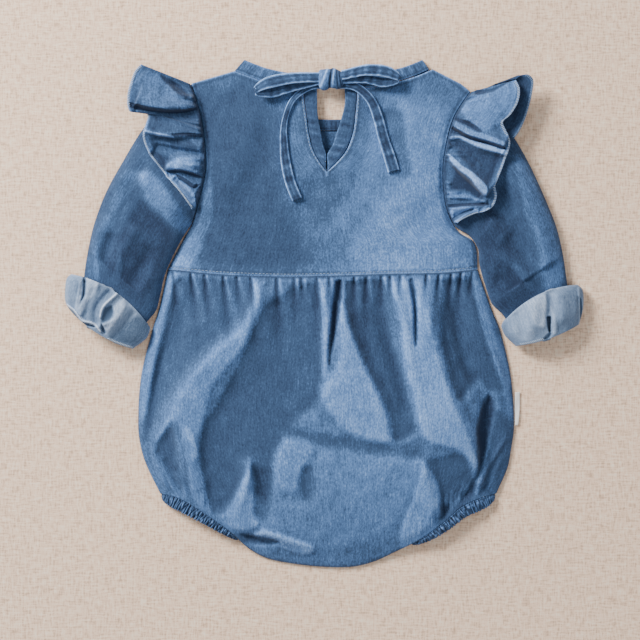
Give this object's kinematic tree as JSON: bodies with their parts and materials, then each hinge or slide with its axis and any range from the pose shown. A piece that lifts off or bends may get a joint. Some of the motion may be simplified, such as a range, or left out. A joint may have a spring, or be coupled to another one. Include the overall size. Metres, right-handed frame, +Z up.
{
  "type": "baby romper",
  "caption": "Long-sleeved baby bubble romper in washed denim, laid flat with its back up: tied keyhole neck, wing ruffles, rolled cuffs and gathered legs.",
  "frame": {"origin": "middle of the garment's outline, on the surface that it lies on", "axes": "+Y towards the neck, +Z up from the surface to the garment's back, +X towards the wearer's right"},
  "size_m": [0.45, 0.441, 0.0239],
  "materials": {
    "denim": "washed mid-blue lightweight denim, matt",
    "denim_inside": "paler inside of the denim, matt",
    "label": "blank white woven tape"
  },
  "bodies": {
    "root": {"front_body": "denim", "front_bodice": "denim", "back_body": "denim", "back_bodice": "denim", "neckband_back_left": "denim", "neckband_back_right": "denim", "keyhole_binding_left": "denim", "keyhole_binding_right": "denim", "sleeve_left": "denim", "sleeve_right": "denim", "ruffle_left": "denim", "ruffle_right": "denim", "leg_casing_left": "denim", "leg_casing_right": "denim", "tie_knot": "denim", "tie_loop_left": "denim", "tie_loop_right": "denim", "tie_tail_left": "denim", "tie_tail_right": "denim", "cuff_left": "denim_inside", "cuff_right": "denim_inside", "neckband_front": "denim_inside", "side_label": "label"}
  },
  "joints": []
}
